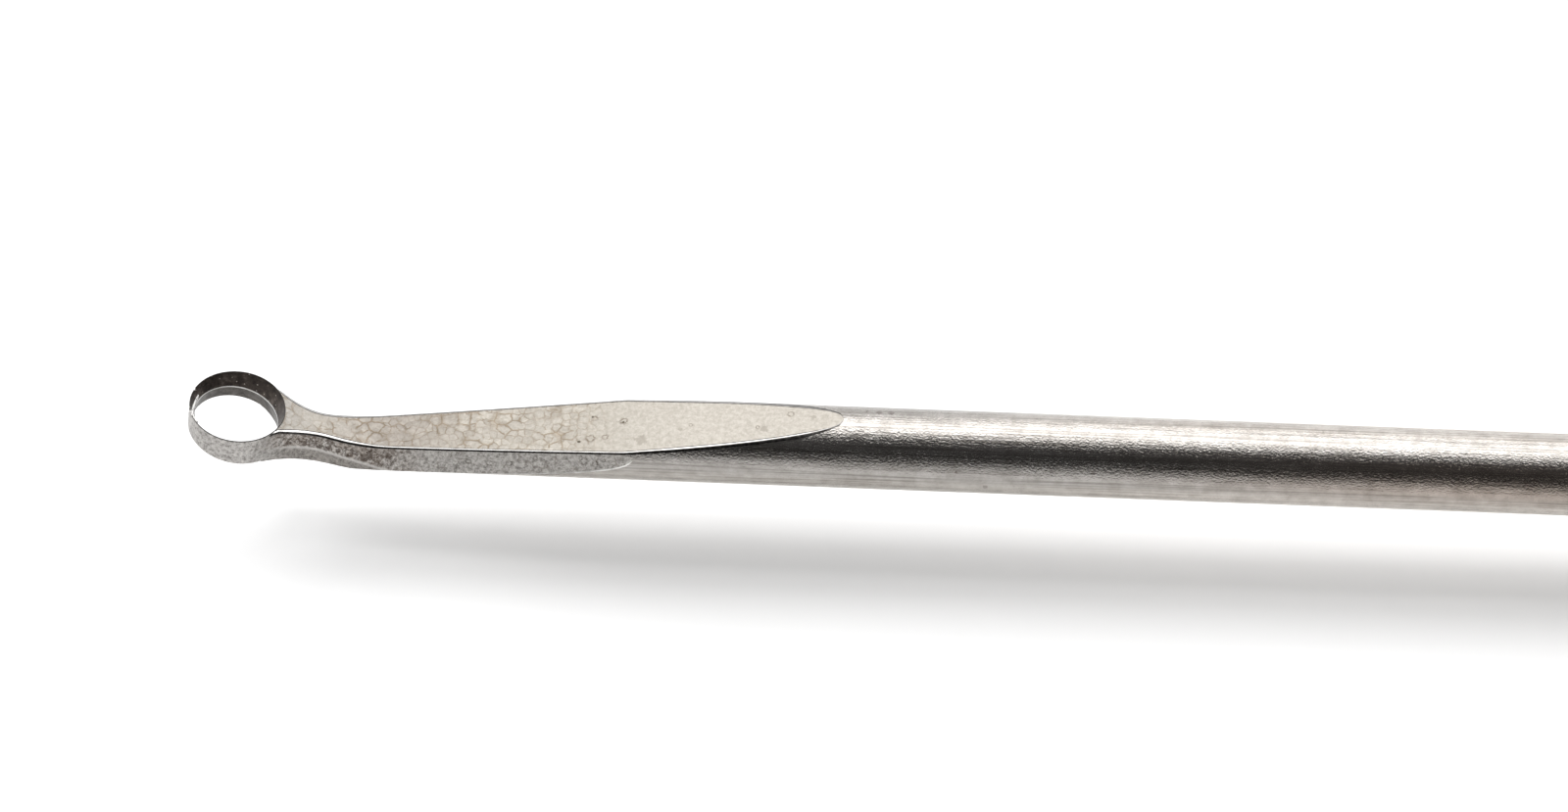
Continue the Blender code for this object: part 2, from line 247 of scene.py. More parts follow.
def half_section(d):
    """Half of one section, from the middle of the top round to the middle of the underside: (y, z, face) points."""
    slant = SIDE_SLANT * smoothstep(SLANT_START, SLANT_END, d)
    half_width = side_line(d)
    top, under = top_line(d), under_line(d)
    crease = CREASE_Z - d * math.tan(CREASE_FALL)

    def around(z):
        """Half width of the bar at height z."""
        return math.sqrt(max(0.0, BAR_R**2 - (z - BAR_R) ** 2))

    near = half_width * math.cos(slant)
    if near < BAR_R:
        spread = math.acos(near / BAR_R)
        side_top = BAR_R + BAR_R * math.sin(slant + spread)
        side_low = BAR_R + BAR_R * math.sin(slant - spread)
    else:
        side_top = side_low = BAR_R + BAR_R * math.sin(SIDE_SLANT)
    upright = half_width + (BAR_R - crease) * math.tan(slant)
    if near < BAR_R and crease > side_low:
        side_low = BAR_R - math.sqrt(max(0.0, BAR_R**2 - upright**2)) if upright < BAR_R else crease

    def wall(z):
        """Half width of the head at height z."""
        if near >= BAR_R:
            return around(z)
        flat_side = half_width - (z - BAR_R) * math.tan(slant) if z > crease else upright
        return min(around(z), flat_side)

    width = 0.0
    for (at, first), (to, last) in zip(STRIP_WIDTHS[:-1], STRIP_WIDTHS[1:]):
        if at <= d <= to:
            width = mix(first, last, smoothstep(at, to, d))
    width = min(width, 0.4 * wall(top))
    if d >= FLAT_LENGTH:
        width = 0.0
    shoulder = top - width * math.tan(STRIP_ANGLE)
    y_shoulder = wall(shoulder)
    soft = min(EDGE_ROUND, 0.6 * width)
    strip_end = (y_shoulder - soft * math.cos(STRIP_ANGLE), shoulder + soft * math.sin(STRIP_ANGLE))
    wall_start = shoulder - soft
    a, b = max(side_top, under), max(side_low, under)
    a = min(a, wall_start)
    b = min(b, a)
    c = min(a, max(b, crease))
    points = []

    def run(count, face, place):
        """Points of one face, up to the next one's first."""
        points.extend((*place(i / count), face) for i in range(count))

    line = min(EDGE_LINE, 0.5 * width)
    run(12, FLAT, lambda t: (mix(0.0, y_shoulder - width - line, t), top))
    run(1, LINE, lambda t: (y_shoulder - width - line, top))
    start = Vector((y_shoulder - width, top))
    run(2, STRIP, lambda t: start.lerp(Vector(strip_end), t))
    ends = Vector(strip_end), Vector((y_shoulder, shoulder)), Vector((wall(wall_start), wall_start))
    run(5, LINE, lambda t: ends[0].lerp(ends[1], t).lerp(ends[1].lerp(ends[2], t), t))

    def by_turn(z_from, z_to, t):
        """A point on the round, spaced by its angle."""
        first = math.asin(max(-1.0, min(1.0, z_from / BAR_R - 1)))
        last = math.asin(max(-1.0, min(1.0, z_to / BAR_R - 1)))
        z = BAR_R + BAR_R * math.sin(mix(first, last, t))
        return wall(z), z

    run(8, ROUND, lambda t: by_turn(wall_start, a, t))
    run(10, SIDE, lambda t: (wall(mix(a, c, t)), mix(a, c, t)))
    run(8, SIDE, lambda t: (wall(mix(c, b, t)), mix(c, b, t)))
    low_corner = max(under, b - min(LOW_CORNER, 0.5 * (a - b)))
    run(1, CORNER, lambda t: by_turn(b, low_corner, t))
    run(24, ROUND, lambda t: by_turn(low_corner, under, t))
    run(6, SIDE, lambda t: (mix(wall(under), 0.0, t), under))
    points.append((0.0, under, SIDE))
    return points


def ring_shift(d, z):
    """How far a side follows the lean of the ring's wall, which fades out along the neck."""
    return (z - RIM_Z) * math.tan(RIM_LEAN) * (1.0 - smoothstep(FILLET_START, FILLET_END, d))


stations = [mix(FILLET_START - INTO_RING, FILLET_START, i / 3) for i in range(3)]
stations += [mix(FILLET_START, FILLET_END, i / 36) for i in range(36)]
stations += [mix(FILLET_END, SWEEP_END, i / 24) for i in range(24)]
stations += [mix(SWEEP_END, FLAT_LENGTH, i / 110) for i in range(110)]
stations += [mix(FLAT_LENGTH, BAR_END - END_CHAMFER, i / 40) for i in range(41)]

bm = bmesh.new()
loops = []
for d in stations:
    half = half_section(d)
    sides = half + [(-y, z, face) for y, z, face in half[-2:0:-1]]
    loops.append([bm.verts.new(((RING_X + d + ring_shift(d, z)) * MM, y * MM, z * MM)) for y, z, _ in sides])
faces = [face for _, _, face in half[:-1]]
faces = faces + faces[::-1]
for first, second in zip(loops[:-1], loops[1:]):
    for i, face in enumerate(faces):
        j = (i + 1) % len(first)
        bm.faces.new((first[i], first[j], second[j], second[i])).material_index = face
small = []
for vert in loops[-1]:
    place = vert.co.copy()
    place.x += END_CHAMFER * MM
    place.y *= 1 - END_CHAMFER / BAR_R
    place.z = BAR_R * MM + (place.z - BAR_R * MM) * (1 - END_CHAMFER / BAR_R)
    small.append(bm.verts.new(place))
for i in range(len(small)):
    j = (i + 1) % len(small)
    bm.faces.new((loops[-1][i], loops[-1][j], small[j], small[i])).material_index = ROUND
bm.faces.new(loops[0][::-1]).material_index = SIDE
bm.faces.new(small).material_index = ROUND
bmesh.ops.remove_doubles(bm, verts=bm.verts, dist=SAME_PLACE)
bmesh.ops.dissolve_degenerate(bm, edges=bm.edges, dist=NO_LENGTH)
bmesh.ops.recalc_face_normals(bm, faces=bm.faces)
head_mesh = bpy.data.meshes.new("ring_curette_steel")
bm.to_mesh(head_mesh)
bm.free()
for steel in (flat_steel, strip_steel, side_steel, bar_steel, shade_line_steel, highlight_corner_steel):
    head_mesh.materials.append(steel)
curette = bpy.data.objects.new("ring_curette_steel", head_mesh)
scene.collection.objects.link(curette)


# The ring at the end of the neck, in the same piece of steel: turned like a short tube, with a wide bevel inside that
# leaves a sharp rim, and leaning more at its foot than at its rim. The bright line inside it is where the bevel and
# the bore meet.
RIM_LAND, RIM_SPARE = 0.02, 0.004  # the rim's width, and a little more, so that its chamfer leaves some of it
RIM_CHAMFER, RIM_CHAMFER_DEPTH, FOOT_CHAMFER = 0.018, 0.05, 0.012
EDGE_R, EDGE_DEPTH, EDGE_LEAN, FOOT_BORE_R = 2.05, 0.82, math.radians(11.3), 2.16
EDGE_FROM, EDGE_FLAT, EDGE_TO = -0.03, 0.01, 0.06  # the bright line, as depths from where bevel and bore meet
RING_STEPS = 288
CLEAR = 2.0  # how far the hole is cut past each end of the ring
cone_steel = bpy.data.materials.new("dark_bevel")
bore_steel = bpy.data.materials.new("grey_bore")


def sum_up(tree, operation, *values):
    """One number out of several, each worked on the one before."""
    total = values[0]
    for value in values[1:]:
        total = add_node(tree, "ShaderNodeMath", {0: total, 1: value}, operation=operation).outputs[0]
    return total


lathe = bpy.data.node_groups.new("leaning_ring", "GeometryNodeTree")
for title, kind in (
    ("Profile", "NodeSocketGeometry"),
    ("Steps", "NodeSocketInt"),
    ("Rim Centre", "NodeSocketVector"),
    ("Rim Lean", "NodeSocketFloat"),
    ("Edge Lean", "NodeSocketFloat"),
    ("Foot Lean", "NodeSocketFloat"),
    ("Edge Depth", "NodeSocketFloat"),
    ("Height", "NodeSocketFloat"),
    ("Middle From", "NodeSocketInt"),
    ("Middle To", "NodeSocketInt"),
    ("Upper Finish", "NodeSocketMaterial"),
    ("Middle Finish", "NodeSocketMaterial"),
    ("Lower Finish", "NodeSocketMaterial"),
):
    lathe.interface.new_socket(title, in_out="INPUT", socket_type=kind)
lathe.interface.new_socket("Ring", in_out="OUTPUT", socket_type="NodeSocketGeometry")
given = add_node(lathe, "NodeGroupInput").outputs
made = add_node(lathe, "NodeGroupOutput").inputs

# a sheet with a row of points for each point of the profile
circles = add_node(lathe, "GeometryNodeAttributeDomainSize", {"Geometry": given["Profile"]}, component="MESH")
per_row = sum_up(lathe, "ADD", given["Steps"], 1.0)
sheet = add_node(lathe, "GeometryNodeMeshGrid", {"Vertices X": circles.outputs["Point Count"], "Vertices Y": per_row})
number = add_node(lathe, "GeometryNodeInputIndex").outputs["Index"]
middle = sum_up(lathe, "ADD", number, 0.5)
row = add_node(lathe, "ShaderNodeMath", {0: sum_up(lathe, "DIVIDE", middle, per_row)}, operation="FLOOR").outputs[0]
step = sum_up(lathe, "SUBTRACT", number, sum_up(lathe, "MULTIPLY", row, per_row))
looked_up = add_node(lathe, "GeometryNodeSampleIndex", data_type="FLOAT_VECTOR", domain="POINT")
for name, source in (
    ("Geometry", given["Profile"]),
    ("Value", add_node(lathe, "GeometryNodeInputPosition").outputs["Position"]),
    ("Index", row),
):
    lathe.links.new(source, next(socket for socket in looked_up.inputs if socket.name == name and socket.enabled))
found = next(socket for socket in looked_up.outputs if socket.enabled)
size = add_node(lathe, "ShaderNodeSeparateXYZ", {"Vector": found}).outputs

# each row turned into a circle, which leans by its depth
depth = sum_up(lathe, "MULTIPLY", size["Z"], -1.0)
above_edge = {
    "Value": depth,
    "From Max": given["Edge Depth"],
    "To Min": given["Rim Lean"],
    "To Max": given["Edge Lean"],
}
below_edge = {
    "Value": depth,
    "From Min": given["Edge Depth"],
    "From Max": given["Height"],
    "To Min": given["Edge Lean"],
    "To Max": given["Foot Lean"],
}
lean = sum_up(
    lathe,
    "ADD",
    add_node(lathe, "ShaderNodeMapRange", above_edge).outputs["Result"],
    add_node(lathe, "ShaderNodeMapRange", below_edge).outputs["Result"],
)
lean = sum_up(lathe, "SUBTRACT", lean, given["Edge Lean"])
turn = sum_up(lathe, "DIVIDE", sum_up(lathe, "MULTIPLY", step, math.tau), given["Steps"])
cosine = add_node(lathe, "ShaderNodeMath", {0: turn}, operation="COSINE").outputs[0]
sine = add_node(lathe, "ShaderNodeMath", {0: turn}, operation="SINE").outputs[0]
across = {"X": sum_up(lathe, "MULTIPLY", size["X"], cosine), "Y": sum_up(lathe, "MULTIPLY", size["X"], sine)}
across = {"Vector": add_node(lathe, "ShaderNodeCombineXYZ", across).outputs["Vector"], "Angle": lean}
across = add_node(lathe, "ShaderNodeVectorRotate", across, rotation_type="Y_AXIS").outputs["Vector"]
down = add_node(lathe, "ShaderNodeCombineXYZ", {"Z": size["Z"]}).outputs["Vector"]
down = {"Vector": down, "Angle": given["Rim Lean"]}
down = add_node(lathe, "ShaderNodeVectorRotate", down, rotation_type="Y_AXIS").outputs["Vector"]
point = add_node(lathe, "ShaderNodeVectorMath", {0: across, 1: down}).outputs["Vector"]
point = {0: point, 1: (MM, MM, MM), 2: given["Rim Centre"]}
point = add_node(lathe, "ShaderNodeVectorMath", point, operation="MULTIPLY_ADD").outputs["Vector"]
shaped = add_node(lathe, "GeometryNodeSetPosition", {"Geometry": sheet.outputs["Mesh"], "Position": point})

# closed along its seam and at its ends, with a finish for each group of rows
band = add_node(lathe, "ShaderNodeMath", {0: sum_up(lathe, "DIVIDE", middle, given["Steps"])}, operation="FLOOR")
band = {"Geometry": shaped.outputs["Geometry"], "Name": "band", "Value": band.outputs[0]}
stored = add_node(lathe, "GeometryNodeStoreNamedAttribute", band, data_type="INT", domain="FACE")
closed = add_node(lathe, "GeometryNodeMergeByDistance", {"Geometry": stored.outputs["Geometry"], "Distance": 1e-6})
solid = add_node(lathe, "GeometryNodeRealizeInstances", {"Geometry": closed.outputs["Geometry"]}).outputs["Geometry"]
band = next(
    socket
    for socket in add_node(lathe, "GeometryNodeInputNamedAttribute", {"Name": "band"}, data_type="INT").outputs
    if socket.enabled
)
from_middle = sum_up(lathe, "GREATER_THAN", band, sum_up(lathe, "SUBTRACT", given["Middle From"], 0.5))
past_middle = sum_up(lathe, "GREATER_THAN", band, sum_up(lathe, "ADD", given["Middle To"], 0.5))
for title, where in (("Upper Finish", True), ("Middle Finish", from_middle), ("Lower Finish", past_middle)):
    finished = {"Geometry": solid, "Selection": where, "Material": given[title]}
    solid = add_node(lathe, "GeometryNodeSetMaterial", finished).outputs["Geometry"]
lathe.links.new(solid, made["Ring"])


def turned(name, profile, sizes):
    """A leaning ring with the given profile of (depth, radius) points."""
    mesh = bpy.data.meshes.new(name)
    links = [(i, i + 1) for i in range(len(profile) - 1)]
    mesh.from_pydata([(radius, 0.0, -depth) for depth, radius in profile], links, [])
    part = bpy.data.objects.new(name, mesh)
    scene.collection.objects.link(part)
    rule = part.modifiers.new("lathe", "NODES")
    rule.node_group = lathe
    sizes = {
        "Steps": RING_STEPS,
        "Rim Centre": (RING_X * MM, 0.0, RIM_Z * MM),
        "Rim Lean": RIM_LEAN,
        "Foot Lean": FOOT_LEAN,
        "Height": RING_HEIGHT,
        **sizes,
    }
    for item in lathe.interface.items_tree:
        if item.name in sizes:
            rule[item.identifier] = sizes[item.name]
    bpy.context.view_layer.update()
    solid = bpy.data.meshes.new_from_object(part.evaluated_get(bpy.context.evaluated_depsgraph_get()))
    part.modifiers.clear()
    part.data = solid
    solid.attributes.remove(solid.attributes["band"])
    return part


outside = turned(
    "ring_outside",
    [
        (0.0, 0.0),
        (0.0, RIM_R - RIM_CHAMFER),
        (RIM_CHAMFER_DEPTH, RIM_R),
        (RING_HEIGHT - FOOT_CHAMFER, FOOT_R),
        (RING_HEIGHT, FOOT_R - FOOT_CHAMFER),
        (RING_HEIGHT, 0.0),
    ],
    {
        "Edge Lean": FOOT_LEAN,
        "Edge Depth": RING_HEIGHT - FOOT_CHAMFER,
        "Middle From": 2,
        "Middle To": 4,
        "Upper Finish": shade_line_steel,
        "Middle Finish": side_steel,
        "Lower Finish": side_steel,
    },
)
mouth = RIM_R - RIM_LAND - RIM_SPARE
flare = (mouth - EDGE_R) / EDGE_DEPTH
opening = (FOOT_BORE_R - EDGE_R) / (RING_HEIGHT - EDGE_DEPTH)
hole = turned(
    "ring_hole",
    [
        (-CLEAR, 0.0),
        (-CLEAR, mouth + flare * CLEAR),
        (0.0, mouth),
        (EDGE_DEPTH + EDGE_FROM, EDGE_R - EDGE_FROM * flare),
        (EDGE_DEPTH + EDGE_FLAT, EDGE_R),
        (EDGE_DEPTH + EDGE_TO, EDGE_R + EDGE_TO * opening),
        (RING_HEIGHT + CLEAR, FOOT_BORE_R + opening * CLEAR),
        (RING_HEIGHT + CLEAR, 0.0),
    ],
    {
        "Edge Lean": EDGE_LEAN,
        "Edge Depth": EDGE_DEPTH,
        "Middle From": 3,
        "Middle To": 4,
        "Upper Finish": cone_steel,
        "Middle Finish": strip_steel,
        "Lower Finish": bore_steel,
    },
)


# The tip of the ring, which is worn through: a small nick in the rim, a wider chip beside it, and the thin end of
# the near wall torn off and bent inwards past the tip, bright where the steel is fresh.
NICK_BEARING, NICK_WIDTH, NICK_DEPTH = math.radians(158.0), 0.24, 0.20
CHIP_BEARING, CHIP_WIDTH, CHIP_DEPTH = math.radians(194.0), 0.85, 0.26
NOTCH_LENGTH = 0.6
TORN_FROM, TORN_TO, TORN_STEPS = math.radians(214.0), math.radians(168.0), 22
TORN_INSET, TORN_BEND = 0.03, 0.30
TORN_THICK, TORN_TOP, TORN_FOOT = (0.10, 0.045), (0.03, -0.10), (0.75, 0.12)  # each at the wall and at the free end
torn_steel = bpy.data.materials.new("torn_edge")


def nick_tool(bearing, width, depth):
    """A three-sided notch across the rim."""
    bm = bmesh.new()
    bmesh.ops.create_cone(bm, cap_ends=True, segments=3, radius1=depth, radius2=depth, depth=NOTCH_LENGTH)
    widen = Matrix.Diagonal((1.0, width / (depth * math.sqrt(3.0)), 1.0, 1.0))
    point_down = Matrix.Rotation(math.radians(90.0), 4, "Y")
    d, y = RIM_R * math.cos(bearing), RIM_R * math.sin(bearing)
    place = Matrix.Translation((RING_X + d, y, RIM_Z - d * math.tan(RIM_LEAN))) @ Matrix.Rotation(bearing, 4, "Z")
    bmesh.ops.transform(bm, matrix=Matrix.Scale(MM, 4) @ place @ point_down @ widen, verts=bm.verts)
    mesh = bpy.data.meshes.new("rim_nick")
    bm.to_mesh(mesh)
    bm.free()
    mesh.materials.append(torn_steel)
    tool = bpy.data.objects.new("rim_nick", mesh)
    scene.collection.objects.link(tool)
    return tool


def torn_sliver(start, end):
    """The thin end of the near wall, torn and bent inwards past the tip, between two bearings."""
    bm = bmesh.new()
    axis = Vector((math.sin(RIM_LEAN), 0.0, math.cos(RIM_LEAN)))
    turn = Matrix.Rotation(RIM_LEAN, 3, "Y")
    rows = []
    for i in range(TORN_STEPS + 1):
        t = i / TORN_STEPS
        jag = math.sin(19.0 * t) * 0.6 + math.sin(43.0 * t + 1.0) * 0.4
        a = mix(start, end, t)
        outer = RIM_R - TORN_INSET - TORN_BEND * smoothstep(0.20, 1.0, t) + 0.014 * jag * t
        thick = mix(*TORN_THICK, t)
        high = mix(*TORN_TOP, smoothstep(0.35, 0.85, t)) + 0.035 * jag * t
        low = mix(*TORN_FOOT, smoothstep(0.1, 1.0, t)) - 0.04 * jag * t
        row = []
        for radius, depth in ((outer, high), (outer - thick, high + 0.02), (outer - thick, low), (outer, low)):
            spoke = turn @ Vector((radius * math.cos(a), radius * math.sin(a), 0.0))
            row.append(bm.verts.new((Vector((RING_X, 0.0, RIM_Z)) - axis * depth + spoke) * MM))
        rows.append(row)
    for first, second in zip(rows[:-1], rows[1:]):
        for i in range(4):
            j = (i + 1) % 4
            bm.faces.new((first[i], first[j], second[j], second[i]))
    bm.faces.new(rows[0])
    bm.faces.new(rows[-1])
    bmesh.ops.recalc_face_normals(bm, faces=bm.faces)
    mesh = bpy.data.meshes.new("torn_sliver")
    bm.to_mesh(mesh)
    bm.free()
    mesh.materials.append(torn_steel)
    tool = bpy.data.objects.new("torn_sliver", mesh)
    scene.collection.objects.link(tool)
    return tool


nick = nick_tool(NICK_BEARING, NICK_WIDTH, NICK_DEPTH)
chip = nick_tool(CHIP_BEARING, CHIP_WIDTH, CHIP_DEPTH)
sliver = torn_sliver(TORN_FROM, TORN_TO)
for tool, operation in (
    (outside, "UNION"),
    (hole, "DIFFERENCE"),
    (nick, "DIFFERENCE"),
    (chip, "DIFFERENCE"),
    (sliver, "UNION"),
):
    join = curette.modifiers.new(tool.name, "BOOLEAN")
    join.operation = operation
    join.material_mode = "TRANSFER"
    join.object = tool


# Finish of the long flat: ground, then etched, so that it is covered with small rounded cells that have thin brown
# outlines, strongest along the neck. Past the middle it is smooth and paler, with a few brown rings and pits.
def in_millimetres(tree):
    """The place on the piece, in millimetres."""
    place = add_node(tree, "ShaderNodeTexCoord")
    scaled = add_node(tree, "ShaderNodeVectorMath", {0: place.outputs["Object"], "Scale": 1000.0}, operation="SCALE")
    return scaled.outputs["Vector"]


def ramp(tree, value, stops):
    """A colour ramp with its stops as (position, colour)."""
    node = add_node(tree, "ShaderNodeValToRGB", {"Fac": value})
    while len(node.color_ramp.elements) < len(stops):
        node.color_ramp.elements.new(0.5)
    for element, (position, colour) in zip(node.color_ramp.elements, stops):
        element.position = position
        element.color = (*colour, 1.0)
    return node.outputs["Color"]


def fade(tree, value, low, high, start=0.0, end=1.0):
    """A soft step from one value to another."""
    inputs = {"Value": value, "From Min": low, "From Max": high, "To Min": start, "To Max": end}
    return add_node(tree, "ShaderNodeMapRange", inputs, interpolation_type="SMOOTHSTEP").outputs["Result"]


def mixed(tree, factor, first, second, blend="MIX"):
    """Two colours mixed, or one worked on the other."""
    node = add_node(tree, "ShaderNodeMix", data_type="RGBA", blend_type=blend)
    for socket, value in zip((node.inputs[0], node.inputs[6], node.inputs[7]), (factor, first, second)):
        if isinstance(value, bpy.types.NodeSocket):
            tree.links.new(value, socket)
        else:
            socket.default_value = value if isinstance(value, float) else (*value, 1.0)
    return node.outputs[2]


def tinted(tree, mask, colour, tint):
    """A colour multiplied by another where the mask is."""
    return mixed(tree, mask, colour, mixed(tree, 1.0, colour, tint, "MULTIPLY"))


def laid_on(tree, shader, colour, height=None, strength=1.0, depth=0.0, invert=False):
    """Gives a shader its colour and, where it has one, its fine relief."""
    tree.links.new(colour, shader.inputs["Base Color"])
    if height is not None:
        relief = {"Height": height, "Strength": strength, "Distance": depth}
        bump = add_node(tree, "ShaderNodeBump", relief, invert=invert)
        tree.links.new(bump.outputs["Normal"], shader.inputs["Normal"])


def effect(name, inputs, outputs):
    """An empty node group for an effect that several finishes share."""
    tree = bpy.data.node_groups.new(name, "ShaderNodeTree")
    for title, kind, start in inputs:
        socket = tree.interface.new_socket(title, in_out="INPUT", socket_type=kind)
        if start is not None:
            socket.default_value = start
    for title in outputs:
        tree.interface.new_socket(title, in_out="OUTPUT", socket_type="NodeSocketFloat")
    return tree, add_node(tree, "NodeGroupInput").outputs, add_node(tree, "NodeGroupOutput").inputs


cells, given, made = effect(
    "rounded_cells", [("Vector", "NodeSocketVector", None), ("Size", "NodeSocketFloat", 0.5)], ["Outline", "Tone"]
)
per_mm = sum_up(cells, "DIVIDE", 1.0, given["Size"])
warp = add_node(cells, "ShaderNodeTexNoise", {"Vector": given["Vector"], "Scale": 3.0, "Detail": 2.0})
warped = add_node(
    cells,
    "ShaderNodeVectorMath",
    {0: warp.outputs["Color"], 1: (0.22, 0.22, 0.22), 2: given["Vector"]},
    operation="MULTIPLY_ADD",
).outputs["Vector"]
pattern = {"Vector": warped, "Scale": per_mm, "Randomness": 0.8}
cell = add_node(cells, "ShaderNodeTexVoronoi", pattern, voronoi_dimensions="2D")
border = add_node(cells, "ShaderNodeTexVoronoi", pattern, voronoi_dimensions="2D", feature="DISTANCE_TO_EDGE")
corner = sum_up(cells, "MULTIPLY", fade(cells, cell.outputs["Distance"], 0.44, 0.62), 0.5)
edge = fade(cells, border.outputs["Distance"], 0.02, 0.11, 1.0, 0.0)
cells.links.new(sum_up(cells, "MAXIMUM", corner, edge), made["Outline"])
lot = add_node(cells, "ShaderNodeSeparateColor", {"Color": cell.outputs["Color"]})
cells.links.new(lot.outputs["Red"], made["Tone"])

rings, given, made = effect(
    "stain_rings",
    [("Vector", "NodeSocketVector", None), ("Size", "NodeSocketFloat", 0.5), ("Spread", "NodeSocketFloat", 0.5)],
    ["Stain"],
)
per_mm = sum_up(rings, "DIVIDE", 1.0, given["Size"])
swirl = add_node(rings, "ShaderNodeTexNoise", {"Vector": given["Vector"], "Scale": per_mm, "Detail": 2.5})
bent = sum_up(rings, "SUBTRACT", swirl.outputs["Fac"], 0.5)
bent = add_node(rings, "ShaderNodeMath", {0: bent}, operation="ABSOLUTE").outputs[0]
areas = add_node(rings, "ShaderNodeTexNoise", {"Vector": given["Vector"], "Scale": 1.7, "Detail": 3.0})
reach = sum_up(rings, "ADD", areas.outputs["Fac"], given["Spread"])
stain = sum_up(rings, "MULTIPLY", fade(rings, bent, 0.012, 0.06, 1.0, 0.0), fade(rings, reach, 0.94, 1.08))
rings.links.new(stain, made["Stain"])

grain, given, made = effect(
    "fine_lines",
    [("Vector", "NodeSocketVector", None), ("Along", "NodeSocketFloat", 0.3), ("Across", "NodeSocketFloat", 9.0)],
    ["Line"],
)
stretch = add_node(grain, "ShaderNodeCombineXYZ", {"X": given["Along"], "Y": given["Across"], "Z": given["Across"]})
drawn = add_node(
    grain, "ShaderNodeVectorMath", {0: given["Vector"], 1: stretch.outputs["Vector"]}, operation="MULTIPLY"
)
line = add_node(grain, "ShaderNodeTexNoise", {"Vector": drawn.outputs["Vector"], "Scale": 1.0, "Detail": 4.0})
grain.links.new(line.outputs["Fac"], made["Line"])

mark, given, made = effect(
    "round_mark",
    [("Vector", "NodeSocketVector", None), ("Centre", "NodeSocketVector", None), ("Radius", "NodeSocketFloat", 0.1)],
    ["Spot", "Ring"],
)
apart = add_node(mark, "ShaderNodeVectorMath", {0: given["Vector"], 1: given["Centre"]}, operation="DISTANCE")
ragged = add_node(mark, "ShaderNodeTexNoise", {"Vector": given["Vector"], "Scale": 5.0, "Detail": 3.0})
far = sum_up(mark, "DIVIDE", apart.outputs["Value"], given["Radius"])
far = {0: ragged.outputs["Fac"], 1: 1.7, 2: far}
far = add_node(mark, "ShaderNodeMath", far, operation="MULTIPLY_ADD").outputs[0]
far = sum_up(mark, "ADD", far, -0.85)
mark.links.new(fade(mark, far, 0.75, 1.2, 1.0, 0.0), made["Spot"])
hollow = fade(mark, far, 0.5, 0.85)
uneven = fade(mark, ragged.outputs["Fac"], 0.36, 0.60, 0.25, 1.0)
mark.links.new(sum_up(mark, "MULTIPLY", fade(mark, far, 0.85, 1.25, 1.0, 0.0), hollow, uneven), made["Ring"])


def marks(tree, place, spots, kind="Spot"):
    """A mask of several marks, each (x, y, z, radius)."""
    masks = []
    for *centre, radius in spots:
        one = {"Vector": place, "Centre": centre, "Radius": radius}
        masks.append(add_node(tree, "ShaderNodeGroup", one, node_tree=mark).outputs[kind])
    return sum_up(tree, "MAXIMUM", *masks)


tree, shader = finish_of(flat_steel, roughness=0.55)
place = in_millimetres(tree)
where = add_node(tree, "ShaderNodeSeparateXYZ", {"Vector": place})
along = add_node(
    tree, "ShaderNodeMapRange", {"Value": where.outputs["X"], "From Min": RING_X, "From Max": RING_X + 30}
).outputs["Result"]
light = ramp(
    tree,
    along,
    [
        (0.06, (0.345, 0.330, 0.308)),
        (0.14, (0.320, 0.300, 0.272)),
        (0.25, (0.262, 0.240, 0.216)),
        (0.40, (0.328, 0.308, 0.277)),
        (0.58, (0.336, 0.316, 0.283)),
        (0.74, (0.374, 0.352, 0.318)),
    ],
)
fine = add_node(tree, "ShaderNodeTexNoise", {"Vector": place, "Scale": 5.0, "Detail": 3.0, "Roughness": 0.8})
uneven = ramp(tree, fine.outputs["Fac"], [(0.34, (0.82, 0.81, 0.79)), (0.66, (1.10, 1.10, 1.10))])
colour = mixed(tree, 1.0, light, uneven, "MULTIPLY")
etched = add_node(tree, "ShaderNodeGroup", {"Vector": place, "Size": 0.42}, node_tree=cells)
areas = add_node(tree, "ShaderNodeTexNoise", {"Vector": place, "Scale": 0.8, "Detail": 3.0})
strength = sum_up(
    tree,
    "MULTIPLY",
    fade(tree, areas.outputs["Fac"], 0.36, 0.58, 0.3, 1.0),
    fade(tree, where.outputs["X"], RING_X + 15.5, RING_X + 19.0, 1.0, 0.0),
    fade(tree, where.outputs["X"], RING_X + 1.5, RING_X + 6.0, 0.75, 1.0),
)
bare = marks(tree, place, [(-64.93, -0.07, 2.0, 0.42)])
strength = sum_up(tree, "MULTIPLY", strength, fade(tree, bare, 0.0, 1.0, 1.0, 0.1))
pale = ramp(
    tree, etched.outputs["Tone"], [(0.1, (0.90, 0.89, 0.875)), (0.5, (1.0, 1.0, 1.0)), (0.9, (1.09, 1.09, 1.08))]
)
colour = tinted(tree, strength, colour, pale)
large = add_node(tree, "ShaderNodeGroup", {"Vector": place, "Size": 0.66}, node_tree=cells)
share = fade(tree, areas.outputs["Fac"], 0.52, 0.58)
outline = add_node(
    tree, "ShaderNodeMix", {0: share, 2: etched.outputs["Outline"], 3: large.outputs["Outline"]}, data_type="FLOAT"
).outputs[0]
outline = sum_up(tree, "MULTIPLY", outline, strength)
colour = tinted(tree, outline, colour, (0.67, 0.595, 0.515))
flat_rings = [
    (-51.27, 0.35, 2.86, 0.22),
    (-52.69, 0.60, 2.73, 0.16),
    (-52.86, -0.75, 2.71, 0.24),
    (-52.14, -0.67, 2.78, 0.17),
    (-48.00, -0.03, 3.19, 0.10),
    (-43.16, 0.46, 3.71, 0.17),
    (-44.75, -0.33, 3.53, 0.11),
    (-61.90, 0.20, 2.11, 0.20),
]
colour = mixed(tree, marks(tree, place, flat_rings, "Ring"), colour, (0.15, 0.125, 0.10))
